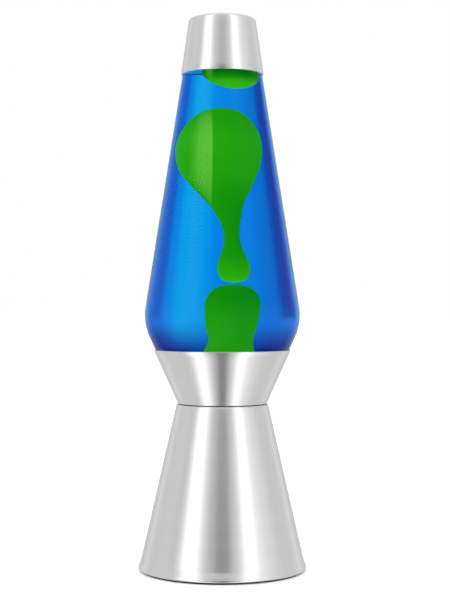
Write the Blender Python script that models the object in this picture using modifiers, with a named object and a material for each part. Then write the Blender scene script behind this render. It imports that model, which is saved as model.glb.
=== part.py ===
"""A lava lamp: a spun metal base and cap, and a sealed bottle of coloured liquid with wax in it.

Lengths are in metres, +Z is up, and the origin is where the lamp's axis meets the surface it stands on.
Turned parts are outlines in the XZ plane, listed down their outer side, and screwed round the Z axis.
"""

import math

import bmesh
import bpy
from mathutils import Matrix, Vector

# Driving dimensions
LAMP_HEIGHT = 0.414
GAP = 0.0003  # between pieces that touch
SHEET = 0.0007  # spun aluminium
BIG_STEPS = 32
SMALL_STEPS = 16
ARC_STEP = math.radians(30)

BASE_RADIUS = 0.0636
FLARE_RADIUS = 0.0610  # where the cone's foot starts to flare
FLARE_HEIGHT = 0.0085
FOOT_HEIGHT = 0.0012
FOOT_RING_INSET = 0.0035
FOOT_RING_WIDTH = 0.0050
WAIST_HEIGHT = 0.1246  # top of the lower base
WAIST_RADIUS = 0.0345
WAIST_HOLE_RADIUS = 0.026
HEM_WIDTH = 0.0055
WAIST_ROUNDING = 0.0018
HEM_ROUNDING = 0.0012

COLLAR_FOOT_RADIUS = 0.0334
COLLAR_FOOT_ROUNDING = 0.0012
COLLAR_RIM_RADIUS = 0.0515
COLLAR_RIM_HEIGHT = 0.165

BOTTLE_FLOOR = 0.136
BOTTLE_WALL = 0.0025
BOTTLE_TOP = 0.407
BELLY_ROUNDING = 0.038
UPPER_CONE_LOW = Vector((0.0540, 0.2212))  # radius and height of two points on the upper cone
UPPER_CONE_HIGH = Vector((0.0300, 0.372))
SHOULDER_HEIGHT = 0.390
NECK_RADIUS = 0.0118
FINISH_RADIUS = 0.0133  # the bead that the crown closure grips
MOUTH_RADIUS = 0.0083
HEEL_ROUNDING = 0.005
PUNT_DEPTH = 0.002
PUNT_RADIUS = 0.012
PUNT_EDGE_RADIUS = 0.020
NECK_RISE = 0.006  # shoulder to neck
NECK_ROUNDING = 0.002
BEAD_HEIGHT = 0.0065
BEAD_BEVEL = 0.0015

LINER_THICKNESS = 0.0005
CROWN_SKIRT = 0.0062
CROWN_BEND = 0.004
CROWN_TOP_CLEARANCE = 0.0008
CROWN_BEND_CLEARANCE = 0.0012
CROWN_SKIRT_CLEARANCE = 0.0030

CAP_RIM_HEIGHT = 0.372
CAP_RIM_RADIUS = 0.0313
CAP_TOP_RADIUS = 0.0250
CAP_TOP_ROUNDING = 0.0022

LIQUID_TOP = 0.394
POOL_TOP = 0.1515  # wax lies in the bottle up to here
BLOB_CAVITY_RADIUS = 0.0275  # room in the liquid for the moving blob
TOP_CAVITY_RADIUS = 0.0240
TOP_CAVITY_HEIGHT = 0.353
POOL_EDGE_RADIUS = 0.0262
POOL_HEEL = 0.0040

COIL_RING_RADIUS = 0.027
COIL_RADIUS = 0.0022
COIL_WIRE_RADIUS = 0.0006
COIL_TURNS = 14
COIL_POINTS_PER_TURN = 6
COIL_SWEEP = math.radians(350)

SCREW_CIRCLE_RADIUS = 0.0293
SCREW_COUNT = 3
SCREW_RADIUS = 0.00145
SCREW_HOLE_RADIUS = 0.00175
SCREW_HEAD_RADIUS = 0.0028
SCREW_HEAD_HEIGHT = 0.0017
NUT_RADIUS = 0.0031
NUT_HEIGHT = 0.0024
SCREW_PROJECTION = 0.001
SCREW_STEPS = 12

BRACKET_SHEET = 0.0012
BRACKET_WIDTH = 0.014
BRACKET_RING_RADIUS = 0.0320
BRACKET_HALF_SPAN = 0.0255  # axis to the inner face of each leg
BRACKET_FLOOR = 0.046  # top of the cross piece that carries the holder
JOIN_INSET = 0.0004  # keeps the faces of joined blocks out of one plane

HOLDER_RADIUS = 0.0135
HOLDER_BORE_RADIUS = 0.0098
HOLDER_HEIGHT = 0.027
HOLDER_FLOOR = 0.006
NIPPLE_RADIUS = 0.0048
NIPPLE_BORE_RADIUS = 0.0034
NIPPLE_DROP = 0.007
LOCK_NUT_RADIUS = 0.0080
LOCK_NUT_HEIGHT = 0.0035
HOLDER_ROUNDING = 0.0010
TERMINAL_HEIGHT = 0.003
TERMINAL_HOLE_RADIUS = 0.0016
TERMINAL_HOLE_DEPTH = 0.006
TERMINAL_SCREW = (
    (0, 0.0018), (0.0020, 0.0018), (0.0026, 0.0010), (0.0026, 0), (0.0013, 0), (0.0013, -0.0040), (0, -0.0040)
)
SHELL_CLEARANCE = 0.004
SHELL_SHEET = 0.0004
CONTACT_RADIUS = 0.0050
CONTACT_SHEET = 0.0005
CONTACT_DOME = ((0, 0.0013), (0.0020, 0.0013), (0.0034, 0.0005))

BULB_TIP = 0.0542
BULB_LENGTH = 0.066
BULB_RADIUS = 0.0222
BULB_GLASS = 0.0009
THREAD_RADIUS = 0.0083
THREAD_DEPTH = 0.0004
THREAD_PITCH = 0.00282
THREAD_TURNS = 4
SHELL_TOP = 0.0205  # heights above the bulb's tip
THREAD_TOP = 0.0170
GLASS_FOOT = 0.0120
STEM_FOOT = 0.0125
STEM_HEIGHT = 0.0210
THREAD_TAPER = 0.0028
THREAD_END_RADIUS = 0.0052
TIP_HEIGHT = 0.0006
TIP_RADIUS = 0.0016
TIP_SHOULDER_RADIUS = 0.0022
INSULATOR_RADIUS = 0.0050
LEAD_RADIUS = 0.00035
LEAD_HEIGHT = 0.0140
FILAMENT_RADIUS = 0.0084
FILAMENT_POINTS = 13

GLAND_HEIGHT = 0.022
GLAND_BORE_RADIUS = 0.0040
GLAND_RADIUS = 0.0055
GLAND_FLANGE_RADIUS = 0.0075
GLAND_FLANGE = 0.0018
GLAND_TAIL = 0.0052
GLAND_NUT_RADIUS = 0.0085
GLAND_NUT_HEIGHT = 0.0026

VENT_COUNT = 8
VENT_CIRCLE_RADIUS = 0.036
VENT_SIZE = (0.018, 0.005, 0.006)
COVER_SHEET = 0.0010
COVER_CLEARANCE = 0.0028

# Sizes that follow from them
HEM_HEIGHT = FOOT_HEIGHT + GAP
COLLAR_FOOT_HEIGHT = WAIST_HEIGHT + GAP
COLLAR_HEIGHT = COLLAR_RIM_HEIGHT - COLLAR_FOOT_HEIGHT
COLLAR_SLOPE = (COLLAR_RIM_RADIUS - COLLAR_FOOT_RADIUS) / COLLAR_HEIGHT
UPPER_SLOPE = (UPPER_CONE_HIGH.x - UPPER_CONE_LOW.x) / (UPPER_CONE_HIGH.y - UPPER_CONE_LOW.y)
BASE_SLOPE = (WAIST_RADIUS - FLARE_RADIUS) / (WAIST_HEIGHT - FLARE_HEIGHT)
COLLAR_TO_GLASS = (SHEET + GAP) * math.hypot(1, COLLAR_SLOPE)  # measured along the radius
HOLDER_FOOT = BRACKET_FLOOR + GAP
BULB_TOP = BULB_TIP + BULB_LENGTH


def clear_scene():
    for item in list(bpy.data.objects):
        bpy.data.objects.remove(item, do_unlink=True)


def new_collection(name):
    group = bpy.data.collections.new(name)
    bpy.context.scene.collection.children.link(group)
    return group


def finish(name, colour, roughness, metallic=0.0, alpha=1.0):
    """A Principled material."""
    made = bpy.data.materials.new(name)
    made.use_nodes = True
    shader = made.node_tree.nodes["Principled BSDF"]
    shader.inputs["Base Color"].default_value = (*colour, 1.0)
    shader.inputs["Roughness"].default_value = roughness
    shader.inputs["Metallic"].default_value = metallic
    shader.inputs["Alpha"].default_value = alpha
    return made


def rounded(*corners):
    """An outline through the corners; a corner's third number is the radius of its rounding."""
    points = []
    last = len(corners) - 1
    for i, corner in enumerate(corners):
        here = Vector(corner[:2])
        if len(corner) == 2 or i in (0, last):
            points.append(here)
            continue
        before = (Vector(corners[i - 1][:2]) - here).normalized()
        after = (Vector(corners[i + 1][:2]) - here).normalized()
        turn = math.pi - before.angle(after)
        reach = corner[2] * math.tan(turn / 2)
        centre = here + (before + after).normalized() * corner[2] / math.cos(turn / 2)
        first = here + before * reach - centre
        second = here + after * reach - centre
        count = max(2, math.ceil(turn / ARC_STEP))
        for step in range(count + 1):
            share = step / count
            weight = math.sin((1 - share) * turn), math.sin(share * turn)
            points.append(centre + (first * weight[0] + second * weight[1]) / math.sin(turn))
    return points


def link(item, group, material):
    item.data.materials.append(material)
    group.objects.link(item)
    return item


def shade(mesh):
    mesh.shade_smooth()
    mesh.set_sharp_from_angle(angle=math.radians(35))


def turned(name, outline, group, material, steps=BIG_STEPS, ring=False, wall=0.0):
    """A solid of revolution; ring closes the outline on itself, and wall thickens it inwards."""
    count = len(outline)
    edges = [(i, i + 1) for i in range(count - 1)]
    if ring:
        edges.append((count - 1, 0))
    mesh = bpy.data.meshes.new(name)
    mesh.from_pydata([(point[0], 0, point[1]) for point in outline], edges, [])
    item = link(bpy.data.objects.new(name, mesh), group, material)
    screw = item.modifiers.new("turn", "SCREW")
    screw.axis = "Z"
    screw.angle = math.tau
    screw.steps = steps
    screw.render_steps = steps
    screw.use_merge_vertices = True
    screw.merge_threshold = 0.00001
    screw.use_smooth_shade = True
    if wall:
        shell = item.modifiers.new("wall", "SOLIDIFY")
        shell.thickness = wall
        shell.offset = -1
        shell.use_even_offset = True
    return item


def from_bmesh(name, shape, group, material):
    bmesh.ops.recalc_face_normals(shape, faces=shape.faces)
    mesh = bpy.data.meshes.new(name)
    shape.to_mesh(mesh)
    shape.free()
    shade(mesh)
    return link(bpy.data.objects.new(name, mesh), group, material)


def block(name, size, centre, group, material):
    shape = bmesh.new()
    bmesh.ops.create_cube(shape, size=1)
    bmesh.ops.scale(shape, vec=size, verts=shape.verts)
    bmesh.ops.translate(shape, vec=centre, verts=shape.verts)
    return from_bmesh(name, shape, group, material)


def rod(name, radius, low, high, group, material, steps=SMALL_STEPS):
    """A cylinder along Z from low to high."""
    shape = bmesh.new()
    place = Matrix.Translation((0, 0, (low + high) / 2))
    bmesh.ops.create_cone(
        shape, cap_ends=True, segments=steps, radius1=radius, radius2=radius, depth=high - low, matrix=place
    )
    return from_bmesh(name, shape, group, material)


def tube(name, points, radius, group, material, sides=2):
    """A round wire through the points, with closed ends."""
    curve = bpy.data.curves.new(name, "CURVE")
    curve.dimensions = "3D"
    curve.bevel_depth = radius
    curve.bevel_resolution = sides
    curve.use_fill_caps = True
    spline = curve.splines.new("POLY")
    spline.points.add(len(points) - 1)
    for knot, point in zip(spline.points, points):
        knot.co = (*point, 1)
    return link(bpy.data.objects.new(name, curve), group, material)


def combine(item, tool, operation="DIFFERENCE"):
    """Cut tool out of item, or join it on; tool is hidden."""
    change = item.modifiers.new(tool.name, "BOOLEAN")
    change.operation = operation
    change.solver = "EXACT"
    change.object = tool
    tool.hide_render = True
    tool.display_type = "WIRE"


def around(count, radius, height=0.0):
    """Evenly spaced places on a circle, as (angle, position)."""
    for i in range(count):
        angle = math.tau * i / count
        yield angle, Vector((radius * math.cos(angle), radius * math.sin(angle), height))


def smooth_between(stations, height):
    """Values at a height, from stations of (height, value, value...), on a smooth curve."""
    last = len(stations) - 1
    i = 0
    while i < last - 1 and height > stations[i + 1][0]:
        i += 1
    low, high = stations[i], stations[i + 1]
    share = min(max((height - low[0]) / (high[0] - low[0]), 0), 1)
    before = stations[max(i - 1, 0)]
    after = stations[min(i + 2, last)]
    span = high[0] - low[0]
    values = []
    for k in range(1, len(low)):
        slope_in = (high[k] - before[k]) / (high[0] - before[0]) * span
        slope_out = (after[k] - low[k]) / (after[0] - low[0]) * span
        s, t = share, share * share
        values.append(
            low[k] * (2 * s * t - 3 * t + 1)
            + slope_in * (s * t - 2 * t + s)
            + high[k] * (3 * t - 2 * s * t)
            + slope_out * (s * t - t)
        )
    return values


def wax_shape(name, stations, group, material, rings=14, segments=24, flat_foot=False):
    """A round lump whose radius and sideways shift follow the stations (height, radius, shift)."""
    foot = 1 / rings if flat_foot else 0
    bottom, top = stations[0][0], stations[-1][0]
    shape = bmesh.new()
    bmesh.ops.create_uvsphere(shape, u_segments=segments, v_segments=rings, radius=1)
    for vert in shape.verts:
        share = math.acos(max(-1, min(1, -vert.co.z))) / math.pi
        share = max(0, (share - foot) / (1 - foot))
        height = bottom + (top - bottom) * share
        around_axis = Vector((vert.co.x, vert.co.y))
        if around_axis.length > 0.001:
            around_axis.normalize()
        else:
            around_axis = Vector((0, 0))
        radius, shift = smooth_between(stations, height)
        vert.co = (around_axis.x * radius + shift, around_axis.y * radius, height)
    return from_bmesh(name, shape, group, material)


def cone_corner(inset=0.0):
    """Where the bottle's upper and lower cones would meet, for the surface that far inside the glass."""
    upper_back = inset * math.hypot(1, UPPER_SLOPE)
    lower_back = inset * math.hypot(1, COLLAR_SLOPE)
    upper_at_zero = UPPER_CONE_LOW.x - upper_back - UPPER_SLOPE * UPPER_CONE_LOW.y
    lower_at_zero = COLLAR_RIM_RADIUS - COLLAR_TO_GLASS - lower_back - COLLAR_SLOPE * COLLAR_RIM_HEIGHT
    height = (upper_at_zero - lower_at_zero) / (COLLAR_SLOPE - UPPER_SLOPE)
    return upper_at_zero + UPPER_SLOPE * height, height


def upper_radius(height, inset=0.0):
    glass = UPPER_CONE_LOW.x + UPPER_SLOPE * (height - UPPER_CONE_LOW.y)
    return glass - inset * math.hypot(1, UPPER_SLOPE)


def lower_radius(height, inset=0.0):
    glass = COLLAR_RIM_RADIUS - COLLAR_TO_GLASS + COLLAR_SLOPE * (height - COLLAR_RIM_HEIGHT)
    return glass - inset * math.hypot(1, COLLAR_SLOPE)


def bottle_glass(group, material):
    neck_foot = SHOULDER_HEIGHT + NECK_RISE
    bead_low = BOTTLE_TOP - BEAD_HEIGHT
    inside_floor = BOTTLE_FLOOR + BOTTLE_WALL + PUNT_DEPTH
    inside_shoulder = SHOULDER_HEIGHT - BOTTLE_WALL
    inside = rounded(
        (0, inside_floor),
        (lower_radius(inside_floor, BOTTLE_WALL), inside_floor, HEEL_ROUNDING),
        (*cone_corner(BOTTLE_WALL), BELLY_ROUNDING - BOTTLE_WALL),
        (upper_radius(inside_shoulder, BOTTLE_WALL), inside_shoulder, 2 * NECK_ROUNDING),
        (MOUTH_RADIUS, neck_foot - BOTTLE_WALL / 2, NECK_ROUNDING),
        (MOUTH_RADIUS, BOTTLE_TOP),
    )
    outside = rounded(
        (FINISH_RADIUS - BEAD_BEVEL, BOTTLE_TOP),
        (FINISH_RADIUS, BOTTLE_TOP - BEAD_BEVEL),
        (FINISH_RADIUS, bead_low),
        (NECK_RADIUS, bead_low - BEAD_BEVEL),
        (NECK_RADIUS, neck_foot, NECK_ROUNDING),
        (upper_radius(SHOULDER_HEIGHT), SHOULDER_HEIGHT, HEEL_ROUNDING),
        (*cone_corner(), BELLY_ROUNDING),
        (lower_radius(BOTTLE_FLOOR), BOTTLE_FLOOR, HEEL_ROUNDING),
        (PUNT_EDGE_RADIUS, BOTTLE_FLOOR),
        (PUNT_RADIUS, BOTTLE_FLOOR + PUNT_DEPTH),
        (0, BOTTLE_FLOOR + PUNT_DEPTH),
    )
    return turned("bottle_glass", inside + outside, group, material)


def liquid(group, material):
    inset = BOTTLE_WALL + GAP
    floor = POOL_TOP + GAP
    shoulder = SHOULDER_HEIGHT - BOTTLE_WALL - GAP
    outline = rounded(
        (0, LIQUID_TOP - BOTTLE_WALL),
        (0.012, LIQUID_TOP - BOTTLE_WALL),
        (upper_radius(shoulder, inset), shoulder, 0.003),
        (*cone_corner(inset), BELLY_ROUNDING - inset),
        (lower_radius(floor, inset), floor),
        (BLOB_CAVITY_RADIUS, floor),
        (BLOB_CAVITY_RADIUS, TOP_CAVITY_HEIGHT),
        (TOP_CAVITY_RADIUS, TOP_CAVITY_HEIGHT + 0.003),
        (TOP_CAVITY_RADIUS - 0.001, shoulder - 0.006),
        (0.019, shoulder - 0.002),
        (0, shoulder - 0.001),
    )
    return turned("liquid", outline, group, material)


def wax_top_blob(group, material):
    stations = [
        (0.3594, 0, 0.0085),
        (0.3612, 0.0085, 0.0080),
        (0.3652, 0.0140, 0.0070),
        (0.3712, 0.0160, 0.0055),
        (0.3772, 0.0125, 0.0040),
        (0.3797, 0, 0.0030),
    ]
    return wax_shape("wax_top_blob", stations, group, material, rings=10)


def wax_middle_blob(group, material):
    stations = [
        (0.2133, 0, 0.0065),
        (0.2156, 0.0062, 0.0065),
        (0.2236, 0.0091, 0.0065),
        (0.2336, 0.0075, 0.0060),
        (0.2452, 0.0044, 0.0055),
        (0.2601, 0.0062, 0.0044),
        (0.2756, 0.0118, 0.0014),
        (0.2906, 0.0197, -0.0010),
        (0.3126, 0.0243, -0.0021),
        (0.3326, 0.0178, -0.0015),
        (0.3416, 0.0085, -0.0008),
        (0.3446, 0, -0.0005),
    ]
    return wax_shape("wax_middle_blob", stations, group, material, rings=22, segments=20)


def wax_column(group, cutters, material):
    """The lump that is still joined to the pool of wax round the coil."""
    inset = BOTTLE_WALL + GAP
    low = BOTTLE_FLOOR + BOTTLE_WALL + PUNT_DEPTH + GAP
    heel_radius = lower_radius(low, inset) - POOL_HEEL / 2
    stations = [
        (low, heel_radius - POOL_HEEL / 8, 0),
        (low + POOL_HEEL, heel_radius + POOL_HEEL / 2, 0),
        (POOL_TOP - POOL_HEEL, heel_radius + POOL_HEEL / 4, 0),
        (POOL_TOP - 4 * GAP, POOL_EDGE_RADIUS, 0.0002),
        (0.1560, 0.0225, 0.0010),
        (0.1600, 0.0198, 0.0018),
        (0.1650, 0.0170, 0.0030),
        (0.1705, 0.0143, 0.0038),
        (0.1790, 0.0127, 0.0048),
        (0.1860, 0.0145, 0.0051),
        (0.1940, 0.0157, 0.0057),
        (0.2050, 0.0136, 0.0062),
        (0.2100, 0.0078, 0.0063),
        (0.2116, 0, 0.0063),
    ]
    lump = wax_shape("wax_column", stations, group, material, rings=24, segments=20, flat_foot=True)
    half = COIL_RADIUS + COIL_WIRE_RADIUS + GAP
    inner, outer = COIL_RING_RADIUS - half, COIL_RING_RADIUS + half
    below = low - PUNT_DEPTH
    groove = [(inner, low + 2 * half), (outer, low + 2 * half), (outer, below), (inner, below)]
    combine(lump, turned("coil_groove", groove, cutters, material, ring=True))
    return lump


def heat_coil(group, material):
    """A long spring bent into a ring, whose ends nearly meet."""
    centre = BOTTLE_FLOOR + BOTTLE_WALL + PUNT_DEPTH + 2 * GAP + COIL_RADIUS + COIL_WIRE_RADIUS
    count = COIL_TURNS * COIL_POINTS_PER_TURN
    points = []
    for i in range(count + 1):
        along = COIL_SWEEP * i / count
        wind = math.tau * i / COIL_POINTS_PER_TURN
        radius = COIL_RING_RADIUS + COIL_RADIUS * math.cos(wind)
        height = centre + COIL_RADIUS * math.sin(wind)
        points.append((radius * math.cos(along), radius * math.sin(along), height))
    return tube("heat_coil", points, COIL_WIRE_RADIUS, group, material)


def crown_cap(group, material):
    top = BOTTLE_TOP + 2 * GAP + LINER_THICKNESS + SHEET / 2
    outline = rounded(
        (0, top),
        (FINISH_RADIUS + CROWN_TOP_CLEARANCE, top, 2 * SHEET),
        (FINISH_RADIUS + CROWN_BEND_CLEARANCE, top - CROWN_BEND, 4 * SHEET),
        (FINISH_RADIUS + CROWN_SKIRT_CLEARANCE, top - CROWN_SKIRT),
    )
    return turned("crown_cap", outline, group, material, steps=SMALL_STEPS, wall=SHEET / 2)


def crown_liner(group, material):
    low = BOTTLE_TOP + GAP
    return rod("crown_liner", FINISH_RADIUS - BOTTLE_WALL, low, low + LINER_THICKNESS, group, material)


def top_cap(group, material):
    outline = rounded(
        (0, LAMP_HEIGHT),
        (CAP_TOP_RADIUS, LAMP_HEIGHT, CAP_TOP_ROUNDING),
        (CAP_RIM_RADIUS, CAP_RIM_HEIGHT),
    )
    return turned("top_cap", outline, group, material, wall=SHEET)


def screw_holes(low, high, name, cutters, material):
    """Hidden rods that pierce a flange where the waist screws go through."""
    holes = []
    for i, (_, place) in enumerate(around(SCREW_COUNT, SCREW_CIRCLE_RADIUS)):
        hole = rod(f"{name}_{i + 1}", SCREW_HOLE_RADIUS, low, high, cutters, material, SCREW_STEPS)
        hole.location = place
        holes.append(hole)
    return holes


def upper_base(group, cutters, material):
    outline = rounded(
        (COLLAR_RIM_RADIUS, COLLAR_RIM_HEIGHT),
        (COLLAR_FOOT_RADIUS, COLLAR_FOOT_HEIGHT, COLLAR_FOOT_ROUNDING),
        (WAIST_HOLE_RADIUS, COLLAR_FOOT_HEIGHT),
    )
    collar = turned("upper_base", outline, group, material, wall=SHEET)
    low = COLLAR_FOOT_HEIGHT - SHEET
    for hole in screw_holes(low, low + 3 * SHEET, "collar_hole", cutters, material):
        combine(collar, hole)
    return collar


def lower_base(group, cutters, material):
    outline = rounded(
        (WAIST_HOLE_RADIUS, WAIST_HEIGHT),
        (WAIST_RADIUS, WAIST_HEIGHT, WAIST_ROUNDING),
        (FLARE_RADIUS, FLARE_HEIGHT),
        (BASE_RADIUS, HEM_HEIGHT, HEM_ROUNDING),
        (BASE_RADIUS - HEM_WIDTH, HEM_HEIGHT),
    )
    shell = turned("lower_base", outline, group, material, wall=SHEET)
    for hole in screw_holes(WAIST_HEIGHT - 2 * SHEET, WAIST_HEIGHT + SHEET, "base_hole", cutters, material):
        combine(shell, hole)
    outlet = rod("gland_hole", GLAND_RADIUS + GAP, -GLAND_RADIUS, GLAND_RADIUS, cutters, material)
    place_on_wall(outlet)
    combine(shell, outlet)
    return shell


def place_on_wall(item):
    """Put a piece that is modelled along Z on the rear wall of the base, with +Z facing out."""
    radius = FLARE_RADIUS + BASE_SLOPE * (GLAND_HEIGHT - FLARE_HEIGHT)
    item.location = (0, radius, GLAND_HEIGHT)
    item.rotation_euler = (math.radians(-90) - math.atan(BASE_SLOPE), 0, 0)


def cord_gland(group, material):
    outline = rounded(
        (GLAND_BORE_RADIUS, GAP + GLAND_FLANGE),
        (GLAND_FLANGE_RADIUS, GAP + GLAND_FLANGE, GLAND_FLANGE / 2),
        (GLAND_FLANGE_RADIUS, GAP),
        (GLAND_RADIUS, GAP),
        (GLAND_RADIUS, -GLAND_TAIL),
        (GLAND_BORE_RADIUS, -GLAND_TAIL),
    )
    gland = turned("cord_gland", outline, group, material, steps=SMALL_STEPS, ring=True)
    place_on_wall(gland)
    return gland


def gland_nut(group, cutters, material):
    high = -SHEET - 3 * GAP
    low = high - GLAND_NUT_HEIGHT
    nut = rod("gland_nut", GLAND_NUT_RADIUS, low, high, group, material, steps=6)
    bore = rod("gland_nut_bore", GLAND_RADIUS + GAP, low - SHEET, high + SHEET, cutters, material)
    for item in (nut, bore):
        place_on_wall(item)
    combine(nut, bore)
    return nut


def waist_fasteners(group, cutters, material):
    """Screws that clamp the collar, the base and the lamp bracket together, and their nuts."""
    head = COLLAR_FOOT_HEIGHT + SHEET + GAP
    nut_top = WAIST_HEIGHT - SHEET - BRACKET_SHEET - 2 * GAP
    nut_low = nut_top - NUT_HEIGHT
    screw_end = nut_low - SCREW_PROJECTION
    outline = rounded(
        (0, head + SCREW_HEAD_HEIGHT),
        (SCREW_HEAD_RADIUS, head + SCREW_HEAD_HEIGHT, SCREW_HEAD_HEIGHT / 2),
        (SCREW_HEAD_RADIUS, head),
        (SCREW_RADIUS, head),
        (SCREW_RADIUS, screw_end),
        (0, screw_end),
    )
    for i, (_, place) in enumerate(around(SCREW_COUNT, SCREW_CIRCLE_RADIUS)):
        screw = turned(f"waist_screw_{i + 1}", outline, group, material, SCREW_STEPS)
        nut = rod(f"waist_nut_{i + 1}", NUT_RADIUS, nut_low, nut_top, group, material, steps=6)
        bore_low, bore_high = nut_low - GAP, nut_top + GAP
        name = f"nut_bore_{i + 1}"
        bore = rod(name, SCREW_HOLE_RADIUS, bore_low, bore_high, cutters, material, SCREW_STEPS)
        combine(nut, bore)
        for item in (screw, nut, bore):
            item.location = place


def lamp_bracket(group, cutters, material):
    """A ring under the waist flange, with a U-shaped strap that hangs from it."""
    ring_top = WAIST_HEIGHT - SHEET - GAP
    ring_low = ring_top - BRACKET_SHEET
    outer = BRACKET_HALF_SPAN + BRACKET_SHEET
    outline = [
        (BRACKET_HALF_SPAN, ring_top),
        (BRACKET_RING_RADIUS, ring_top),
        (BRACKET_RING_RADIUS, ring_low),
        (BRACKET_HALF_SPAN, ring_low),
    ]
    ring = turned("lamp_bracket", outline, group, material, ring=True)
    leg_height = ring_top - JOIN_INSET - BRACKET_FLOOR + BRACKET_SHEET
    leg_middle = BRACKET_FLOOR - BRACKET_SHEET + leg_height / 2
    leg_size = (BRACKET_WIDTH, BRACKET_SHEET, leg_height)
    for side, name in ((-1, "front_leg"), (1, "rear_leg")):
        centre = (0, side * (outer - BRACKET_SHEET / 2), leg_middle)
        combine(ring, block(name, leg_size, centre, cutters, material), "UNION")
    cross_size = (BRACKET_WIDTH, 2 * outer - JOIN_INSET, BRACKET_SHEET)
    cross_centre = (0, 0, BRACKET_FLOOR - BRACKET_SHEET / 2)
    combine(ring, block("cross_piece", cross_size, cross_centre, cutters, material), "UNION")
    low, high = BRACKET_FLOOR - 2 * BRACKET_SHEET, BRACKET_FLOOR + BRACKET_SHEET
    combine(ring, rod("nipple_hole", NIPPLE_RADIUS + GAP, low, high, cutters, material))
    for hole in screw_holes(ring_low - GAP, ring_top + GAP, "bracket_hole", cutters, material):
        combine(ring, hole)
    return ring


def holder_body(group, cutters, material):
    top = HOLDER_FOOT + HOLDER_HEIGHT
    floor = HOLDER_FOOT + HOLDER_FLOOR
    nipple_room = HOLDER_FOOT + HOLDER_FLOOR / 2
    outline = rounded(
        (0, floor),
        (HOLDER_BORE_RADIUS, floor),
        (HOLDER_BORE_RADIUS, top),
        (HOLDER_RADIUS, top, HOLDER_ROUNDING),
        (HOLDER_RADIUS, HOLDER_FOOT, HOLDER_ROUNDING),
        (NIPPLE_RADIUS + GAP, HOLDER_FOOT),
        (NIPPLE_RADIUS + GAP, nipple_room),
        (0, nipple_room),
    )
    body = turned("holder_body", outline, group, material, steps=SMALL_STEPS)
    for side in (-1, 1):
        name = f"terminal_hole_{side}"
        hole = rod(name, TERMINAL_HOLE_RADIUS, 0, TERMINAL_HOLE_DEPTH, cutters, material, SCREW_STEPS)
        hole.location = (side * (HOLDER_RADIUS + HOLDER_ROUNDING), 0, HOLDER_FOOT + TERMINAL_HEIGHT)
        hole.rotation_euler = (0, -side * math.radians(90), 0)
        combine(body, hole)
    return body


def terminal_screws(group, material):
    for i, side in enumerate((-1, 1)):
        screw = turned(f"terminal_screw_{i + 1}", TERMINAL_SCREW, group, material, SCREW_STEPS)
        screw.location = (side * (HOLDER_RADIUS + GAP), 0, HOLDER_FOOT + TERMINAL_HEIGHT)
        screw.rotation_euler = (0, side * math.radians(90), 0)


def holder_shell(group, material):
    """The threaded brass liner that the bulb screws into."""
    low = HOLDER_FOOT + HOLDER_FLOOR + SHELL_CLEARANCE
    top = HOLDER_FOOT + HOLDER_HEIGHT - HOLDER_ROUNDING
    outer = HOLDER_BORE_RADIUS - GAP
    inner = outer - SHELL_SHEET
    outline = [(inner, top), (outer, top), (outer, low), (inner, low)]
    return turned("holder_screw_shell", outline, group, material, steps=SMALL_STEPS, ring=True)


def holder_contact(group, material):
    """The springy centre contact on the holder's floor."""
    low = HOLDER_FOOT + HOLDER_FLOOR + GAP
    outline = [(radius, low + height) for radius, height in CONTACT_DOME]
    outline += [(CONTACT_RADIUS, low + CONTACT_SHEET), (CONTACT_RADIUS, low), (0, low)]
    return turned("holder_centre_contact", outline, group, material, SCREW_STEPS)


def holder_nipple(group, material):
    """The threaded tube that fixes the holder to the bracket and lets the wires in."""
    low = BRACKET_FLOOR - BRACKET_SHEET - NIPPLE_DROP
    top = HOLDER_FOOT + HOLDER_FLOOR / 2 - GAP
    inner, outer = NIPPLE_BORE_RADIUS, NIPPLE_RADIUS
    outline = [(inner, top), (outer, top), (outer, low), (inner, low)]
    return turned("holder_nipple", outline, group, material, steps=SMALL_STEPS, ring=True)


def holder_lock_nut(group, cutters, material):
    high = BRACKET_FLOOR - BRACKET_SHEET - GAP
    low = high - LOCK_NUT_HEIGHT
    nut = rod("holder_lock_nut", LOCK_NUT_RADIUS, low, high, group, material, steps=6)
    bore = rod("lock_nut_bore", NIPPLE_RADIUS + GAP, low - SHEET, high + SHEET, cutters, material)
    combine(nut, bore)
    return nut


def bulb_glass(group, material):
    neck = THREAD_RADIUS - THREAD_DEPTH - SHELL_SHEET - GAP
    outline = rounded(
        (0, BULB_TOP),
        (BULB_RADIUS, BULB_TOP - 0.0030, 0.0090),
        (BULB_RADIUS, BULB_TOP - 0.0160, 0.0080),
        (0.0090, BULB_TOP - 0.0400, 0.0150),
        (neck, BULB_TOP - 0.0450, 0.0030),
        (neck, BULB_TIP + GLASS_FOOT),
    )
    return turned("bulb_glass", outline, group, material, steps=SMALL_STEPS, wall=BULB_GLASS)


def bulb_screw_shell(group, material):
    top = BULB_TIP + SHELL_TOP
    thread_top = BULB_TIP + THREAD_TOP
    crest = [(THREAD_RADIUS - THREAD_DEPTH, top)]
    for i in range(THREAD_TURNS):
        height = thread_top - i * THREAD_PITCH
        crest.append((THREAD_RADIUS - THREAD_DEPTH, height))
        crest.append((THREAD_RADIUS, height - THREAD_PITCH / 2))
    end = thread_top - THREAD_TURNS * THREAD_PITCH
    crest.append((THREAD_RADIUS - THREAD_DEPTH, end))
    crest.append((THREAD_END_RADIUS, end - THREAD_TAPER))
    return turned("bulb_screw_shell", crest, group, material, steps=SMALL_STEPS, wall=GAP)


def bulb_insulator(group, material):
    low = BULB_TIP + TIP_HEIGHT + GAP
    top = BULB_TIP + THREAD_TOP - THREAD_TURNS * THREAD_PITCH - THREAD_TAPER - GAP
    outline = [(0, top), (INSULATOR_RADIUS, top), (1.5 * TIP_RADIUS, low), (0, low)]
    return turned("bulb_insulator", outline, group, material, steps=SMALL_STEPS)


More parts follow.
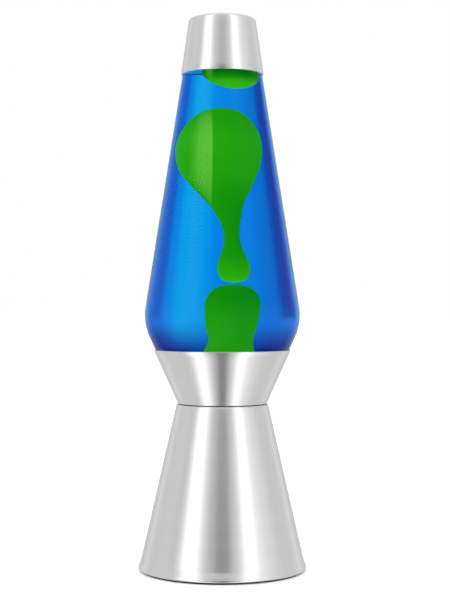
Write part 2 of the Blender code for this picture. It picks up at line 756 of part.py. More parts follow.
def bulb_tip_contact(group, material):
    top = BULB_TIP + TIP_HEIGHT
    outline = [(0, top), (TIP_SHOULDER_RADIUS, top), (TIP_RADIUS, BULB_TIP), (0, BULB_TIP)]
    return turned("bulb_tip_contact", outline, group, material, steps=SMALL_STEPS)


def bulb_stem(group, material):
    """The glass foot inside the bulb that carries the lead wires."""
    low = BULB_TIP + STEM_FOOT
    top = low + STEM_HEIGHT
    outline = rounded(
        (0, top),
        (0.0026, top, 0.0008),
        (0.0020, low + 0.0080, 0.0040),
        (0.0054, low),
        (0, low),
    )
    return turned("bulb_stem", outline, group, material, SCREW_STEPS)


def bulb_wires(group, wire, tungsten):
    foot = BULB_TIP + STEM_FOOT + STEM_HEIGHT + GAP
    high = foot + LEAD_HEIGHT
    for i, side in enumerate((-1, 1)):
        bend = [
            (side * 0.0013, 0, foot + 0.0003),
            (side * 0.0018, 0, foot + 0.0030),
            (side * 0.0075, 0, high - 0.0020),
            (side * 0.0080, 0, high),
        ]
        tube(f"bulb_lead_wire_{i + 1}", bend, LEAD_RADIUS, group, wire)
    arc = []
    for i in range(FILAMENT_POINTS):
        along = math.radians(200) + math.radians(140) * i / (FILAMENT_POINTS - 1)
        x, y = FILAMENT_RADIUS * math.cos(along), FILAMENT_RADIUS * math.sin(along)
        arc.append((x, y + 0.0015, high + 0.0010))
    tube("bulb_filament", arc, LEAD_RADIUS, group, tungsten)


def bottom_cover(group, cutters, material):
    low = HEM_HEIGHT + SHEET + GAP
    radius = BASE_RADIUS - COVER_CLEARANCE
    cover = rod("bottom_cover", radius, low, low + COVER_SHEET, group, material, BIG_STEPS)
    for i, (angle, place) in enumerate(around(VENT_COUNT, VENT_CIRCLE_RADIUS, low)):
        vent = block(f"vent_{i + 1}", VENT_SIZE, (0, 0, 0), cutters, material)
        vent.location = place
        vent.rotation_euler = (0, 0, angle)
        combine(cover, vent)
    return cover


def foot_ring(group, material):
    outer = BASE_RADIUS - FOOT_RING_INSET
    inner = outer - FOOT_RING_WIDTH
    outline = [(inner, FOOT_HEIGHT), (outer, FOOT_HEIGHT), (outer, 0), (inner, 0)]
    return turned("foot_ring", outline, group, material, ring=True)


def build():
    clear_scene()
    lamp = new_collection("lava_lamp")
    cutters = new_collection("cutters")
    aluminium = finish("spun_aluminium", (0.78, 0.79, 0.80), 0.3, 1.0)
    glass = finish("bottle_glass", (0.95, 0.98, 1.0), 0.02, alpha=0.3)
    blue = finish("blue_liquid", (0.0, 0.25, 0.80), 0.05, alpha=0.5)
    wax = finish("green_wax", (0.02, 0.37, 0.01), 0.4)
    tin = finish("crown_tinplate", (0.80, 0.80, 0.78), 0.3, 1.0)
    steel = finish("plated_steel", (0.62, 0.62, 0.61), 0.35, 1.0)
    brass = finish("brass", (0.80, 0.58, 0.25), 0.3, 1.0)
    porcelain = finish("porcelain", (0.85, 0.83, 0.78), 0.2)
    black = finish("black_plastic", (0.02, 0.02, 0.02), 0.5)
    rubber = finish("rubber", (0.03, 0.03, 0.03), 0.8)

    top_cap(lamp, aluminium)
    crown_cap(lamp, tin)
    crown_liner(lamp, rubber)
    bottle_glass(lamp, glass)
    liquid(lamp, blue)
    wax_top_blob(lamp, wax)
    wax_middle_blob(lamp, wax)
    wax_column(lamp, cutters, wax)
    heat_coil(lamp, steel)

    upper_base(lamp, cutters, aluminium)
    lower_base(lamp, cutters, aluminium)
    waist_fasteners(lamp, cutters, steel)
    lamp_bracket(lamp, cutters, steel)
    cord_gland(lamp, black)
    gland_nut(lamp, cutters, black)

    holder_body(lamp, cutters, porcelain)
    terminal_screws(lamp, brass)
    holder_shell(lamp, brass)
    holder_contact(lamp, brass)
    holder_nipple(lamp, steel)
    holder_lock_nut(lamp, cutters, steel)

    bulb_glass(lamp, glass)
    bulb_screw_shell(lamp, brass)
    bulb_insulator(lamp, black)
    bulb_tip_contact(lamp, tin)
    bulb_stem(lamp, glass)
    bulb_wires(lamp, steel, steel)

    bottom_cover(lamp, cutters, steel)
    foot_ring(lamp, rubber)


build()
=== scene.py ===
import math

import bmesh
import bpy
from mathutils import Matrix, Vector, noise


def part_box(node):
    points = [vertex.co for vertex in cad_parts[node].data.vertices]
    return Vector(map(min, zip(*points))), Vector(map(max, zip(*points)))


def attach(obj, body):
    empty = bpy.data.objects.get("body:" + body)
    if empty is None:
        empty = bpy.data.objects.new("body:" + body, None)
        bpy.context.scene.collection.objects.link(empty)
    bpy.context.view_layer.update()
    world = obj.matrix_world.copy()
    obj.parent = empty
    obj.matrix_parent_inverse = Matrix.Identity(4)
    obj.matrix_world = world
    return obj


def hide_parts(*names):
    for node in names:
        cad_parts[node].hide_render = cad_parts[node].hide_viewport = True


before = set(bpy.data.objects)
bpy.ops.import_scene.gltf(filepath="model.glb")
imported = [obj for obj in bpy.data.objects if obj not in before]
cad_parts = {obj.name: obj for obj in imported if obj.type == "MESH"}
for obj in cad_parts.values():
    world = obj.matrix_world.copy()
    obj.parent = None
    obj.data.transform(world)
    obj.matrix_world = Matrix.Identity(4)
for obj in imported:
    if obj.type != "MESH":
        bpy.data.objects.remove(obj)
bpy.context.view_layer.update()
print("frame loaded:", len(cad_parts), "nodes")

# places read from the frame
capLow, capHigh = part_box("top_cap")
collarLow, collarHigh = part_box("upper_base")
coneLow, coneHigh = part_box("lower_base")
glassLow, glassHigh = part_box("bottle_glass")
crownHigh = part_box("crown_cap")[1]
footLow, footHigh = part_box("foot_ring")
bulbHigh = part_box("bulb_glass")[1]
holderLow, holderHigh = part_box("holder_body")
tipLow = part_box("bulb_tip_contact")[0]


class Wire:
    # one output socket, with arithmetic that adds Math nodes
    def __init__(self, maker, socket):
        self.maker = maker
        self.socket = socket

    def math(self, operation, first, second=None):
        sockets = {0: first} if second is None else {0: first, 1: second}
        return self.maker.add("ShaderNodeMath", {"operation": operation}, sockets)

    def __add__(self, other):
        return self.math("ADD", self, other)

    def __radd__(self, other):
        return self.math("ADD", other, self)

    def __sub__(self, other):
        return self.math("SUBTRACT", self, other)

    def __rsub__(self, other):
        return self.math("SUBTRACT", other, self)

    def __mul__(self, other):
        return self.math("MULTIPLY", self, other)

    def __rmul__(self, other):
        return self.math("MULTIPLY", other, self)

    def __truediv__(self, other):
        return self.math("DIVIDE", self, other)

    def __pow__(self, other):
        return self.math("POWER", self, other)

    def clamp(self):
        return self.math("MAXIMUM", self.math("MINIMUM", self, 1.0), 0.0)


class NodeMaker:
    # adds nodes to one tree
    def __init__(self, tree):
        self.tree = tree

    def add(self, kind, settings=None, sockets=None, output=0):
        node = self.tree.nodes.new(kind)
        for key, value in (settings or {}).items():
            if key == "stops":
                self.setStops(node.color_ramp, value)
            elif key == "interpolation":
                node.color_ramp.interpolation = value
            else:
                setattr(node, key, value)
        for key, value in (sockets or {}).items():
            self.feed(node.inputs[key], value)
        return Wire(self, node.outputs[output])

    def setStops(self, ramp, stops):
        while len(ramp.elements) < len(stops):
            ramp.elements.new(0.5)
        for element, (position, colour) in zip(ramp.elements, stops):
            element.position = position
            element.color = (*colour, 1)

    def feed(self, socket, value):
        if isinstance(value, Wire):
            self.tree.links.new(value.socket, socket)
        else:
            socket.default_value = value

    def place(self):
        # the place on the object
        return self.add("ShaderNodeTexCoord", output=3)

    def facing(self):
        # the surface's own normal
        return self.add("ShaderNodeNewGeometry", output=1)

    def axes(self, point):
        split = self.tree.nodes.new("ShaderNodeSeparateXYZ")
        self.feed(split.inputs[0], point)
        return [Wire(self, out) for out in split.outputs]

    def cloud(self, point, scale, detail=3.0, roughness=0.5):
        return self.add(
            "ShaderNodeTexNoise", {"noise_dimensions": "3D"},
            {"Vector": point, "Scale": scale, "Detail": detail, "Roughness": roughness},
        )

    def lines(self, along, scale, detail=2.0):
        return self.add(
            "ShaderNodeTexNoise", {"noise_dimensions": "1D"},
            {"W": along, "Scale": scale, "Detail": detail, "Roughness": 0.6},
        )

    def mixColour(self, amount, first, second):
        return self.blend("MIX", amount, first, second)

    def blend(self, mode, amount, first, second):
        # the colour sockets of a Mix node are its inputs 6 and 7 and its output 2
        first, second = [(*side, 1) if isinstance(side, tuple) else side for side in (first, second)]
        settings = {"data_type": "RGBA", "blend_type": mode}
        return self.add("ShaderNodeMix", settings, {"Factor": amount, 6: first, 7: second}, 2)

    def ramp(self, amount, stops):
        return self.add("ShaderNodeValToRGB", {"interpolation": "EASE", "stops": stops}, {"Fac": amount})

    def smooth(self, value, low, high, most=1.0):
        return self.add(
            "ShaderNodeMapRange", {"interpolation_type": "SMOOTHSTEP"},
            {"Value": value, "From Min": low, "From Max": high, "To Max": most},
        )

    def bump(self, height, strength, distance):
        return self.add(
            "ShaderNodeBump", None, {"Strength": strength, "Distance": distance, "Height": height}
        )


class Finish(NodeMaker):
    # a material built on one Principled shader
    def __init__(self, name):
        self.material = bpy.data.materials.new(name)
        self.material.use_nodes = True
        super().__init__(self.material.node_tree)
        self.shader = self.tree.nodes["Principled BSDF"]
        self.output = self.tree.nodes["Material Output"]

    def set(self, **values):
        for key, value in values.items():
            if isinstance(value, tuple) and len(value) == 3:
                value = (*value, 1)
            self.feed(self.shader.inputs[socketNames[key]], value)
        return self


socketNames = {
    "colour": "Base Color", "roughness": "Roughness", "metallic": "Metallic", "normal": "Normal",
    "transmission": "Transmission Weight", "ior": "IOR", "specular": "Specular IOR Level",
    "emission": "Emission Color", "glow": "Emission Strength", "tint": "Specular Tint",
    "anisotropy": "Anisotropic", "turn": "Anisotropic Rotation",
}


aluminiumLook = {
    "colour": (0.74, 0.74, 0.74),
    "paler": (0.92, 0.92, 0.92),
    "paintedLevelShade": (0.42, 0.42, 0.42),  # painted shade: level faces are painted darker, and made rougher
    "flatFrom": 0.86,
    "flatBlend": 0.12,
    "flatRoughness": 0.2,
    "roughness": 0.25,
    "roughnessSpread": 0.05,
    "anisotropy": 0.75,
    "quarterTurn": 0.25,
    "latheLinesPerMetre": 3200,
    "bandsPerMetre": 160,
    "lineStrength": 0.35,
    "lineDepth": 0.0000006,
    "smudgeScale": 22,
    "rayScale": 26,
    "rayStretch": 1.5,
    "shares": (0.35, 0.2, 0.15, 0.3),  # of fine lines, bands, smudges and rays
}


def spunAluminium():
    # fine lathe lines run round the axis, so they follow radius plus height
    look = aluminiumLook
    metal = Finish("spunAluminium")
    point = metal.place()
    x, y, z = metal.axes(point)
    radius = (x * x + y * y) ** 0.5
    along = radius + z
    fine = metal.lines(along, look["latheLinesPerMetre"])
    bands = metal.lines(along, look["bandsPerMetre"], 3.0)
    smudge = metal.cloud(point, look["smudgeScale"], 4.0)
    spoke = metal.add("ShaderNodeCombineXYZ", None, {
        0: x / radius, 1: y / radius, 2: z * look["rayStretch"],
    })
    rays = metal.cloud(spoke, look["rayScale"], 4.0, 0.7)  # faint, down the wall
    ofFine, ofBands, ofSmudge, ofRays = look["shares"]
    shade = (fine * ofFine + bands * ofBands + smudge * ofSmudge + rays * ofRays).clamp()
    upward = metal.axes(metal.facing())[2]
    flat = ((upward - look["flatFrom"]) / look["flatBlend"]).clamp()
    wall = metal.mixColour(shade, look["colour"], look["paler"])
    spread = (shade - 0.5) * look["roughnessSpread"] * 2
    metal.set(
        # painted shade on level faces
        colour=metal.mixColour(flat, wall, look["paintedLevelShade"]),
        metallic=1.0,
        roughness=look["roughness"] + spread + flat * look["flatRoughness"],
        anisotropy=look["anisotropy"],
        turn=look["quarterTurn"],
        normal=metal.bump(fine, look["lineStrength"], look["lineDepth"]),
    )
    return metal.material


stockLook = {"patchRatio": 9, "darker": 0.88, "bumpStrength": 0.2, "bumpDepth": 0.00001}


def plainMetal(name, colour, roughness, grainScale=260, spread=0.10):
    # rolled, pressed or drawn stock with a faint uneven polish
    look = stockLook
    metal = Finish(name)
    point = metal.place()
    grain = metal.cloud(point, grainScale, 5.0, 0.65)
    patch = metal.cloud(point, grainScale / look["patchRatio"], 3.0)
    darker = tuple(part * look["darker"] for part in colour)
    metal.set(
        colour=metal.mixColour((grain * 0.5 + patch * 0.5).clamp(), darker, colour),
        metallic=1.0,
        roughness=roughness + (grain - 0.5) * spread + (patch - 0.5) * spread,
        normal=metal.bump(grain, look["bumpStrength"], look["bumpDepth"]),
    )
    return metal.material


glassLook = {
    "colour": (0.985, 0.995, 1.0),
    "ior": 1.12,  # low, because the liquid's own edge does the bending
    "waveScale": 9,
    "waveStrength": 0.08,
    "waveDepth": 0.0008,
}


def clearGlass():
    look = glassLook
    glass = Finish("clearGlass")
    waves = glass.cloud(glass.place(), look["waveScale"], 2.0)
    glass.set(
        colour=look["colour"],
        roughness=0.0,
        ior=look["ior"],
        transmission=1.0,
        normal=glass.bump(waves, look["waveStrength"], look["waveDepth"]),
    )
    return glass.material


liquidLook = {
    "dye": (0.0015, 0.41, 0.85),
    "density": 6.0,
    "colour": (0.30, 0.75, 0.95),
    "ior": 1.34,
    "shine": (0.30, 0.30, 0.30),
}


def blueLiquid():
    look = liquidLook
    blue = Finish("blueLiquid")
    blue.set(colour=look["dye"], roughness=0.0, ior=look["ior"], transmission=1.0, tint=look["shine"])
    depth = blue.add("ShaderNodeVolumeAbsorption", None, {
        "Color": (*look["colour"], 1), "Density": look["density"],
    })
    blue.feed(blue.output.inputs["Volume"], depth)
    return blue.material


waxLook = {
    "streak": (0.01, 0.10, 0.0),
    "colour": (0.06, 0.20, 0.002),
    "streakScale": 34,
    "streakShare": 0.25,
    # painted shade and painted light: the glow where the wax is least and most lit
    "paintedShadeGlow": (0.0, 0.34, 0.0),
    "lit": (0.85, 0.72, 0.0),
    "underShare": 0.25,  # painted light: faces that look down are painted brighter, as if they caught more of the lamp
    # painted light: the left side is painted brighter, as if lit from the left
    "leftLightShare": 0.12,
    # painted highlight: a pale band glowing on the wax's front, standing in for the glass's reflection of the
    # left strip
    "paintedHighlight": (6.0, 1.1, 0.08),
    "paintedHighlightShare": 0.6,
    "paintedHighlightBand": (-0.024, -0.013, -0.0072, -0.0058),  # across the front: rises, full, fades, gone
    "paintedHighlightFacing": 0.25,
    "paintedHighlightFrom": 0.255,
    "paintedHighlightRise": 0.02,
    # painted shadow of the cap on the top of the wax
    "shaded": (0.0, 0.17, 0.0),
    "shadeFrom": 0.3650,
    "shadeDepth": 0.0070,
    "glow": 1.0,
    "roughness": 0.35,
    "roughnessSpread": 0.15,
    "bumpScale": 60,
    "bumpStrength": 0.15,
    "bumpDepth": 0.0006,
    # painted light: height and how bright the painted lamp light on the wax is there
    "paintedLight": [
        (0.140, 0.95), (0.160, 0.8), (0.172, 0.35), (0.190, 0.25), (0.206, 0.1), (0.2125, 0.1),
        (0.2135, 0.95), (0.222, 0.6), (0.236, 0.25), (0.255, 0.12), (0.275, 0.15), (0.300, 0.45),
        (0.320, 0.55), (0.340, 0.35), (0.350, 0.4), (0.358, 0.85), (0.364, 0.6), (0.370, 0.05),
    ],
}


def greenWax():
    # painted light: the wax glows, brighter where the bulb below would light it, with slow streaks inside the
    # wax, a painted shadow under the cap and a painted highlight band on its front
    look = waxLook
    wax = Finish("greenWax")
    point = wax.place()
    x, _, z = wax.axes(point)
    nx, ny, nz = wax.axes(wax.facing())
    streaks = wax.cloud(point, look["streakScale"], 3.0)
    low, high = look["paintedLight"][0][0], look["paintedLight"][-1][0]
    paintedLight = wax.ramp((z - low) / (high - low), [
        ((height - low) / (high - low), (share,) * 3) for height, share in look["paintedLight"]
    ])
    under = (0 - nz).clamp() * look["underShare"]
    # painted light: how lit the glow is, from height, downward faces, the left side and the streaks
    lit = (paintedLight + under - nx * look["leftLightShare"] + (streaks - 0.5) * look["streakShare"]).clamp()
    # painted highlight band across the front, only on faces toward the front and above a height
    rises, full, fades, gone = look["paintedHighlightBand"]
    side = wax.smooth(x, rises, full) * (1.0 - wax.smooth(x, fades, gone))
    side = side * (0 - ny - look["paintedHighlightFacing"]).clamp()
    side = side * ((z - look["paintedHighlightFrom"]) / look["paintedHighlightRise"]).clamp()
    # painted shadow: the glow darkens towards the cap
    capShadow = ((z - look["shadeFrom"]) / look["shadeDepth"]).clamp()
    glow = wax.mixColour(capShadow, wax.mixColour(lit, look["paintedShadeGlow"], look["lit"]), look["shaded"])
    ripple = wax.cloud(point, look["bumpScale"], 2.0)
    wax.set(
        colour=wax.mixColour(streaks, look["streak"], look["colour"]),
        emission=wax.mixColour(side * look["paintedHighlightShare"], glow, look["paintedHighlight"]),
        glow=look["glow"],
        specular=0.0,
        roughness=look["roughness"] + (streaks - 0.5) * look["roughnessSpread"],
        normal=wax.bump(ripple, look["bumpStrength"], look["bumpDepth"]),
    )
    return wax.material


mouldedLook = {"patchRatio": 14, "darker": 0.8, "roughnessSpread": 0.12, "bumpStrength": 0.3}


def dullFinish(name, colour, roughness, grainScale=900, depth=0.00004, glow=0):
    # moulded plastic, rubber, porcelain and enamel, with a fine grain
    look = mouldedLook
    body = Finish(name)
    point = body.place()
    grain = body.cloud(point, grainScale, 3.0, 0.6)
    patch = body.cloud(point, grainScale / look["patchRatio"], 2.0)
    darker = tuple(part * look["darker"] for part in colour)
    shade = body.mixColour(patch, darker, colour)
    body.set(
        colour=shade,
        roughness=roughness + (patch - 0.5) * look["roughnessSpread"],
        normal=body.bump(grain, look["bumpStrength"], depth),
    )
    # painted light: a finish given a glow shines in its own colour
    if glow:
        body.set(emission=shade, glow=glow)
    return body.material


spun = spunAluminium()
clear = clearGlass()
blue = blueLiquid()
wax = greenWax()
steel = plainMetal("platedSteel", (0.60, 0.60, 0.59), 0.34)
tinplate = plainMetal("tinplate", (0.78, 0.77, 0.74), 0.28)
brassFinish = plainMetal("brass", (0.80, 0.56, 0.22), 0.30)
# painted light: the cap lining's enamel glows
enamel = dullFinish("enamel", (0.85, 0.86, 0.86), 0.35, 700, 0.00001, 0.75)
solder = plainMetal("solder", (0.62, 0.61, 0.60), 0.42, 700)
porcelain = dullFinish("porcelain", (0.86, 0.83, 0.77), 0.16, 500, 0.00002)
blackPlastic = dullFinish("blackPlastic", (0.025, 0.025, 0.027), 0.42)
rubberFinish = dullFinish("rubber", (0.030, 0.030, 0.031), 0.75, 1400, 0.00006)
print("finishes made")

fineSteps = 160       # round a turned piece
longestRun = 0.004    # between points along a turned outline


def roundCorners(corners, arcStep=math.radians(9)):
    # an outline through (radius, height[, rounding]) corners
    points = []
    for i, corner in enumerate(corners):
        here = Vector(corner[:2])
        if len(corner) == 2 or i in (0, len(corners) - 1):
            points.append(here)
            continue
        before = (Vector(corners[i - 1][:2]) - here).normalized()
        after = (Vector(corners[i + 1][:2]) - here).normalized()
        turn = math.pi - before.angle(after)
        reach = corner[2] * math.tan(turn / 2)
        centre = here + (before + after).normalized() * corner[2] / math.cos(turn / 2)
        first = here + before * reach - centre
        second = here + after * reach - centre
        count = max(3, math.ceil(turn / arcStep))
        for step in range(count + 1):
            share = step / count
            sideA, sideB = math.sin((1 - share) * turn), math.sin(share * turn)
            points.append(centre + (first * sideA + second * sideB) / math.sin(turn))
    return points


def fillIn(points, longest):
    # extra points along long straight runs
    filled = [points[0]]
    for before, after in zip(points, points[1:]):
        count = max(1, math.ceil((after - before).length / longest))
        filled += [before.lerp(after, (i + 1) / count) for i in range(count)]
    return filled


def rolledEdge(centre, radius, start, step, count=9):
    # points round a rolled edge, from start in steps of degrees
    angles = [math.radians(start + step * i) for i in range(count)]
    return [centre + Vector((math.cos(angle), math.sin(angle))) * radius for angle in angles]


def spinMesh(outline, steps=fineSteps, ring=False):
    # spins an outline once round Z
    bm = bmesh.new()
    verts = [bm.verts.new((point[0], 0, point[1])) for point in outline]
    for before, after in zip(verts, verts[1:]):
        bm.edges.new((before, after))
    if ring:
        bm.edges.new((verts[-1], verts[0]))
    bmesh.ops.spin(
        bm, geom=bm.verts[:] + bm.edges[:], cent=(0, 0, 0), axis=(0, 0, 1), angle=math.tau,
        steps=steps, use_merge=True,
    )
    bmesh.ops.remove_doubles(bm, verts=bm.verts[:], dist=0.000002)
    bmesh.ops.recalc_face_normals(bm, faces=bm.faces[:])
    return bm


def addObject(name, bm):
    mesh = bpy.data.meshes.new(name)
    bm.to_mesh(mesh)
    bm.free()
    item = bpy.data.objects.new(name, mesh)
    bpy.context.scene.collection.objects.link(item)
    return item


def makePiece(name, bm, finish, body, replaced, sharpAngle=40):
    piece = addObject(name, bm)
    piece.data.shade_smooth()
    piece.data.set_sharp_from_angle(angle=math.radians(sharpAngle))
    piece.data.materials.append(finish)
    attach(piece, body)
    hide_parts(*replaced)
    return piece


def turnedPiece(name, outline, finish, body, replaced, steps=fineSteps, ring=False):
    return makePiece(name, spinMesh(outline, steps, ring), finish, body, replaced)


def backOff(outline, distance):
    # the same outline, set back to its left by a wall's thickness
    points = []
    for i, point in enumerate(outline):
        before = outline[max(i - 1, 0)]
        after = outline[min(i + 1, len(outline) - 1)]
        along = (after - before).normalized()
        points.append(point + Vector((along.y, -along.x)) * -distance)
    return points


def cutAway(piece, cutters):
    # takes the cutters out of a piece for good, and drops them
    tools = [addObject("cutter", bm) for bm in cutters]
    for tool in tools:
        cut = piece.modifiers.new("cut", "BOOLEAN")
        cut.object = tool
    bpy.context.view_layer.update()
    depsgraph = bpy.context.evaluated_depsgraph_get()
    done = bpy.data.meshes.new_from_object(piece.evaluated_get(depsgraph))
    piece.modifiers.clear()
    piece.data = done
    for tool in tools:
        bpy.data.objects.remove(tool)
    return piece


def rodMesh(radius, low, high, segments=48, place=None):
    bm = bmesh.new()
    bmesh.ops.create_cone(
        bm, cap_ends=True, segments=segments, radius1=radius, radius2=radius, depth=high - low,
        matrix=(place or Matrix.Identity(4)) @ Matrix.Translation((0, 0, (low + high) / 2)),
    )
    return bm


capShape = {
    "topRadius": 0.0250,
    "topRounding": 0.0022,
    "sheet": 0.0007,
    "beadRadius": 0.00062,
    "beadStart": -20,
    "beadStep": -20,
    "beadRoom": 0.0004,
    "rimInset": 0.0002,
}


def cap():
    shape = capShape
    rim = Vector((capHigh[0] - shape["rimInset"], capLow[2]))
    top, topRadius, rounding = capHigh[2], shape["topRadius"], shape["topRounding"]
    bead, sheet = shape["beadRadius"], shape["sheet"]
    outer = roundCorners([(0, top), (topRadius, top, rounding), (rim.x, rim.y + bead)])
    curl = rolledEdge(Vector((rim.x - bead, rim.y + bead)), bead, shape["beadStart"], shape["beadStep"])
    inner = roundCorners([
        (rim.x - sheet - shape["beadRoom"], rim.y + 2 * bead),
        (topRadius - sheet, top - sheet, rounding - sheet),
        (0, top - sheet),
    ])
    outline = fillIn(outer + curl + inner, longestRun)
    return turnedPiece("topCap", outline, spun, "cap", ["top_cap"])


liningShape = {"gap": 0.0001, "thickness": 0.0001, "rimInset": 0.0012, "edgeInset": 0.0006}


def capLining():
    # the white enamel inside the cap, made to glow: painted light standing in for the lamp's light that comes up
    # through the liquid
    shape = liningShape
    inset = capShape["sheet"] + shape["gap"]
    corners = [
        (capHigh[0] - inset - shape["edgeInset"], capLow[2] + shape["rimInset"]),
        (capShape["topRadius"] - inset, capHigh[2] - inset, capShape["topRounding"] - inset),
        (0, capHigh[2] - inset),
    ]
    bm = spinMesh(fillIn(roundCorners(corners), longestRun))
    bmesh.ops.reverse_faces(bm, faces=bm.faces[:])
    bmesh.ops.solidify(bm, geom=bm.faces[:], thickness=-shape["thickness"])
    return makePiece("capLining", bm, enamel, "cap", ["top_cap"])


crownShape = {
    "steps": 252,
    "flutes": 21,
    "fluteDepth": 0.00055,
    "fluteEase": 0.7,
    "flutesFrom": 0.0022,
    "sheet": 0.00028,
    "skirt": 0.0062,
    "bend": 0.0040,
    "bendInset": 0.0014,
    "panelRadius": 0.0085,
    "panelDrop": 0.00025,
    "panelRounding": 0.004,
    "ridgeRadius": 0.0098,
    "ridgeRounding": 0.003,
    "shoulderInset": 0.0020,
    "shoulderRounding": 0.0015,
    "bendRounding": 0.003,
    "longestRun": 0.0006,
    "plainRadius": 0.006,  # no flutes inside this
}


def crown():
    # a crown cork: a flat pressed top and a fluted skirt that grips the bottle's lip
    shape = crownShape
    top, edge = crownHigh[2], crownHigh[0] - shape["fluteDepth"]
    panel = top - shape["panelDrop"]
    corners = [
        (0, panel),
        (shape["panelRadius"], panel, shape["panelRounding"]),
        (shape["ridgeRadius"], top, shape["ridgeRounding"]),
        (edge - shape["shoulderInset"], top, shape["shoulderRounding"]),
        (edge - shape["bendInset"], top - shape["bend"], shape["bendRounding"]),
        (edge, top - shape["skirt"]),
    ]
    bm = spinMesh(fillIn(roundCorners(corners), shape["longestRun"]), shape["steps"])
    fluteLength = shape["skirt"] - shape["flutesFrom"]
    for vert in bm.verts:
        flat = Vector((vert.co.x, vert.co.y))
        if flat.length < shape["plainRadius"]:
            continue
        depth = min(max((top - vert.co.z - shape["flutesFrom"]) / fluteLength, 0), 1)
        turn = math.atan2(flat.y, flat.x)
        wave = math.cos(turn * shape["flutes"]) * shape["fluteDepth"] * depth ** shape["fluteEase"]
        vert.co.xy = flat.normalized() * (flat.length + wave)
    bmesh.ops.solidify(bm, geom=bm.faces[:], thickness=shape["sheet"])
    return makePiece("crownCork", bm, tinplate, "bottle", ["crown_cap"])


cap()
capLining()
crown()
print("cap and crown made")


collarShape = {
    "footRadius": 0.0334,
    "footRounding": 0.0009,
    "insideRounding": 0.0004,
    "sheet": 0.0007,
    "rimSlope": 1.3,    # how much wider than the sheet the wall is cut, level with the rim
    "footSlope": 0.6,
    "beadRadius": 0.00055,
    "beadStart": 10,
    "beadStep": 20,
    "rimInset": 0.0001,
    "holeRadius": 0.026,
}


def collar():
    shape = collarShape
    bead, sheet, hole = shape["beadRadius"], shape["sheet"], shape["holeRadius"]
    foot, rim = collarLow[2], collarHigh[2]
    rimRadius, footRadius = collarHigh[0], shape["footRadius"]
    edge = rimRadius - shape["rimInset"]
    outer = roundCorners([(hole, foot), (footRadius, foot, shape["footRounding"]), (edge, rim - bead)])
    curl = rolledEdge(Vector((edge - bead, rim - bead)), bead, shape["beadStart"], shape["beadStep"])
    inner = roundCorners([
        (rimRadius - sheet * shape["rimSlope"], rim - 2 * bead),
        (footRadius - sheet * shape["footSlope"], foot + sheet, shape["insideRounding"]),
        (hole, foot + sheet),
    ])
    outline = fillIn(outer + curl + inner, longestRun)
    return turnedPiece("collar", outline, spun, "base", ["upper_base"], ring=True)


coneShape = {
    "waistRadius": 0.0345,
    "flareRadius": 0.0610,
    "flareHeight": 0.0085,
    "footRadius": 0.0636,
    "shoulder": 0.0014,
    "flareRounding": 0.012,
    "hemRounding": 0.0013,
    "hemWidth": 0.0055,
    "sheet": 0.0007,
    "holeRadius": 0.026,
    "glandHeight": 0.022,
    "glandHoleRadius": 0.0058,
    "cutDepth": 0.006,
}


def glandPlace():
    # from a piece modelled along Z to the rear wall, with +Z facing out
    shape = coneShape
    slope = (shape["waistRadius"] - shape["flareRadius"]) / (coneHigh[2] - shape["flareHeight"])
    radius = shape["flareRadius"] + slope * (shape["glandHeight"] - shape["flareHeight"])
    turn = Matrix.Rotation(math.radians(-90) - math.atan(slope), 4, "X")
    return Matrix.Translation((0, radius, shape["glandHeight"])) @ turn


def baseCone():
    shape = coneShape
    foot, waist = coneLow[2], coneHigh[2]
    corners = [
        (shape["holeRadius"], waist),
        (shape["waistRadius"], waist, shape["shoulder"]),
        (shape["flareRadius"], shape["flareHeight"], shape["flareRounding"]),
        (shape["footRadius"], foot, shape["hemRounding"]),
        (shape["footRadius"] - shape["hemWidth"], foot),
    ]
    outer = fillIn(roundCorners(corners), longestRun)
    inner = backOff(outer, -shape["sheet"])
    bm = spinMesh(outer + inner[::-1], ring=True)
    piece = makePiece("baseCone", bm, spun, "base", ["lower_base"])
    depth = shape["cutDepth"]
    return cutAway(piece, [rodMesh(shape["glandHoleRadius"], -depth, depth, place=glandPlace())])


footRingShape = {"width": 0.005, "insideRounding": 0.0002, "outsideRounding": 0.0003}


def footRing():
    shape = footRingShape
    outer, inner = footHigh[0], footHigh[0] - shape["width"]
    top, low = footHigh[2], footLow[2]
    inside, outside = shape["insideRounding"], shape["outsideRounding"]
    start = (inner, low + inside)
    corners = [
        start, (inner, top, inside), (outer, top, outside),
        (outer, low, outside), (inner, low, inside), start,
    ]
    outline = roundCorners(corners)[:-1]
    return turnedPiece("footRing", outline, rubberFinish, "base", ["foot_ring"], ring=True)


glandShape = {
    "steps": 64,
    # radius, distance out of the wall, rounding
    "outline": [
        (0.0040, 0.0016), (0.0046, 0.0021, 0.0004), (0.0066, 0.0021, 0.0010), (0.0075, 0.0003, 0.0003),
        (0.0055, 0.0003), (0.0055, -0.0052, 0.0003), (0.0040, -0.0052, 0.0003),
    ],
}


def cordGland():
    bm = spinMesh(roundCorners(glandShape["outline"]), glandShape["steps"], ring=True)
    bmesh.ops.transform(bm, matrix=glandPlace(), verts=bm.verts[:])
    return makePiece("cordGlandBush", bm, blackPlastic, "base", ["cord_gland"])


collar()
baseCone()
footRing()
cordGland()
print("metal shells made")


